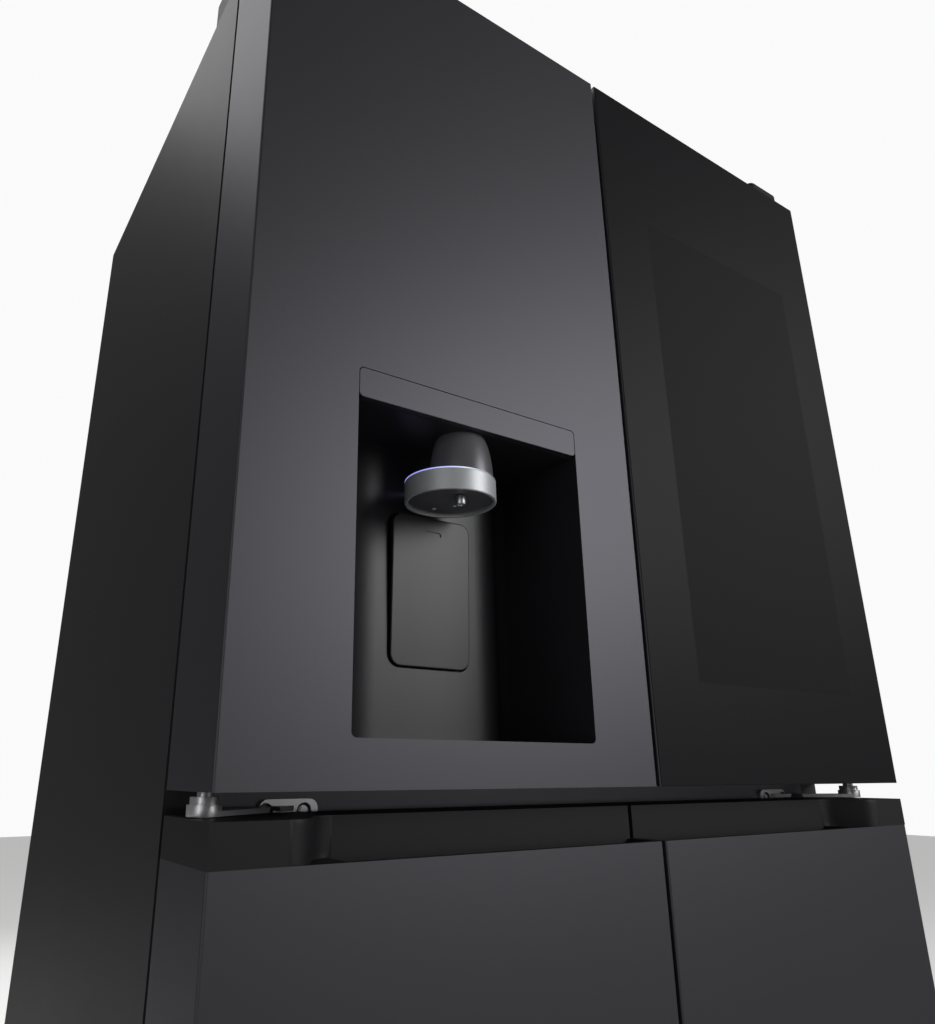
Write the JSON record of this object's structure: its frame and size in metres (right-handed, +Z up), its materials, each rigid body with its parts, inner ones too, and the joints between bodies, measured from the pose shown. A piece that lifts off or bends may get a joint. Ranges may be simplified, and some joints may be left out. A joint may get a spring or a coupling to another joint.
{
  "type": "french door refrigerator",
  "caption": "Free-standing refrigerator with french doors above side-by-side freezer doors, an in-door water dispenser, shelves, drawers and door bins.",
  "frame": {"origin": "on the floor, under the centre of the whole refrigerator with its doors shut", "axes": "+X to the right seen from the front, +Y towards the back (the doors face -Y), +Z up"},
  "size_m": [0.912, 0.7346, 1.788],
  "materials": {
    "coated_steel": "satin",
    "cabinet_steel": "satin",
    "dark_glass": "gloss",
    "dark_plastic": "satin",
    "niche_plastic": "satin",
    "silver_trim": "polished",
    "hinge_steel": "polished",
    "zinc_steel": "satin",
    "white_liner": "satin",
    "foam": "matte",
    "seal": "matte",
    "clear_glass": "gloss",
    "clear_plastic": "gloss",
    "black_metal": "gloss",
    "coil_metal": "satin",
    "black_rubber": "matte"
  },
  "bodies": {
    "cabinet": {"back_panel": "cabinet_steel", "base_tray": "zinc_steel", "bottom_hinges": "zinc_steel", "cabinet_insulation": "foam", "cabinet_wrap": "cabinet_steel", "centre_rail": "cabinet_steel", "compressor": "black_metal", "condenser_coil": "coil_metal", "evaporator": "coil_metal", "evaporator_covers": "white_liner", "freezer_liner": "white_liner", "fridge_liner": "white_liner", "hinge_screws": "hinge_steel", "kick_grille": "dark_plastic", "machine_cover": "dark_plastic", "middle_hinges": "hinge_steel", "shelf_glass": "clear_glass", "shelf_trims": "silver_trim", "top_hinge_covers": "dark_plastic", "top_hinges": "zinc_steel"},
    "left_door": {"left_door_skin": "coated_steel", "left_door_end_caps": "dark_plastic", "left_door_insulation": "foam", "left_door_liner": "white_liner", "left_door_gasket": "seal", "left_door_bins": "clear_plastic", "dispenser_housing": "niche_plastic", "dispenser_bezel": "coated_steel", "nozzle_neck": "niche_plastic", "nozzle_ring": "silver_trim", "nozzle_spout": "silver_trim"},
    "dispenser_paddle": {"dispenser_paddle": "niche_plastic"},
    "centre_mullion": {"mullion_bar": "dark_plastic"},
    "right_door": {"right_door_skin": "coated_steel", "right_door_end_caps": "dark_plastic", "right_door_insulation": "foam", "right_door_liner": "white_liner", "right_door_gasket": "seal", "right_door_bins": "clear_plastic", "right_door_glass": "dark_glass"},
    "lower_left_door": {"lower_left_door_skin": "coated_steel", "lower_left_door_grip_cap": "dark_plastic", "lower_left_door_core": "foam", "lower_left_door_gasket": "seal"},
    "crisper_left": {"crisper_left": "clear_plastic"},
    "upper_freezer_drawer_left": {"upper_freezer_drawer_left": "clear_plastic"},
    "lower_freezer_drawer_left": {"lower_freezer_drawer_left": "clear_plastic"},
    "leveling_foot_left": {"leveling_foot_left": "black_rubber"},
    "rear_roller_left": {"rear_roller_left": "dark_plastic"},
    "lower_right_door": {"lower_right_door_skin": "coated_steel", "lower_right_door_grip_cap": "dark_plastic", "lower_right_door_core": "foam", "lower_right_door_gasket": "seal"},
    "crisper_right": {"crisper_right": "clear_plastic"},
    "upper_freezer_drawer_right": {"upper_freezer_drawer_right": "clear_plastic"},
    "lower_freezer_drawer_right": {"lower_freezer_drawer_right": "clear_plastic"},
    "leveling_foot_right": {"leveling_foot_right": "black_rubber"},
    "rear_roller_right": {"rear_roller_right": "dark_plastic"},
    "condenser_fan": {"condenser_fan": "dark_plastic"},
    "evaporator_fan": {"evaporator_fan": "dark_plastic"}
  },
  "joints": [
    {"name": "left_door_hinge", "type": "hinge", "parent": "cabinet", "child": "left_door", "pos_m": [-0.441, -0.308, 1.3], "axis": [0, 0, -1], "range_deg": [0, 120]},
    {"name": "right_door_hinge", "type": "hinge", "parent": "cabinet", "child": "right_door", "pos_m": [0.441, -0.308, 1.3], "axis": [0, 0, 1], "range_deg": [0, 120]},
    {"name": "lower_left_door_hinge", "type": "hinge", "parent": "cabinet", "child": "lower_left_door", "pos_m": [-0.441, -0.308, 0.45], "axis": [0, 0, -1], "range_deg": [0, 120]},
    {"name": "lower_right_door_hinge", "type": "hinge", "parent": "cabinet", "child": "lower_right_door", "pos_m": [0.441, -0.308, 0.45], "axis": [0, 0, 1], "range_deg": [0, 120]},
    {"name": "mullion_fold", "type": "hinge", "parent": "left_door", "child": "centre_mullion", "pos_m": [-0.028, -0.243, 1.28], "axis": [0, 0, -1], "range_deg": [0, 90]},
    {"name": "paddle_press", "type": "hinge", "parent": "left_door", "child": "dispenser_paddle", "pos_m": [-0.214, -0.269, 0.967], "axis": [-1, 0, 0], "range_deg": [0, 2.8], "stiffness_Nm_per_rad": 0.8, "springref_deg": -5.73},
    {"name": "crisper_left_slide", "type": "slide", "parent": "cabinet", "child": "crisper_left", "axis": [0, -1, 0], "range_m": [0, 0.085]},
    {"name": "upper_freezer_drawer_left_slide", "type": "slide", "parent": "cabinet", "child": "upper_freezer_drawer_left", "axis": [0, -1, 0], "range_m": [0, 0.08]},
    {"name": "lower_freezer_drawer_left_slide", "type": "slide", "parent": "cabinet", "child": "lower_freezer_drawer_left", "axis": [0, -1, 0], "range_m": [0, 0.08]},
    {"name": "leveling_foot_left_turn", "type": "hinge", "parent": "cabinet", "child": "leveling_foot_left", "pos_m": [-0.411, -0.217, 0.02], "axis": [0, 0, 1], "continuous": true},
    {"name": "rear_roller_left_roll", "type": "hinge", "parent": "cabinet", "child": "rear_roller_left", "pos_m": [-0.411, 0.315, 0.02], "axis": [1, 0, 0], "continuous": true},
    {"name": "crisper_right_slide", "type": "slide", "parent": "cabinet", "child": "crisper_right", "axis": [0, -1, 0], "range_m": [0, 0.085]},
    {"name": "upper_freezer_drawer_right_slide", "type": "slide", "parent": "cabinet", "child": "upper_freezer_drawer_right", "axis": [0, -1, 0], "range_m": [0, 0.08]},
    {"name": "lower_freezer_drawer_right_slide", "type": "slide", "parent": "cabinet", "child": "lower_freezer_drawer_right", "axis": [0, -1, 0], "range_m": [0, 0.08]},
    {"name": "leveling_foot_right_turn", "type": "hinge", "parent": "cabinet", "child": "leveling_foot_right", "pos_m": [0.411, -0.217, 0.02], "axis": [0, 0, 1], "continuous": true},
    {"name": "rear_roller_right_roll", "type": "hinge", "parent": "cabinet", "child": "rear_roller_right", "pos_m": [0.411, 0.315, 0.02], "axis": [1, 0, 0], "continuous": true},
    {"name": "condenser_fan_spin", "type": "hinge", "parent": "cabinet", "child": "condenser_fan", "pos_m": [0.018, 0.25, 0.125], "axis": [1, 0, 0], "continuous": true},
    {"name": "evaporator_fan_spin", "type": "hinge", "parent": "cabinet", "child": "evaporator_fan", "pos_m": [-0.212, 0.27, 0.69], "axis": [0, 1, 0], "continuous": true}
  ]
}
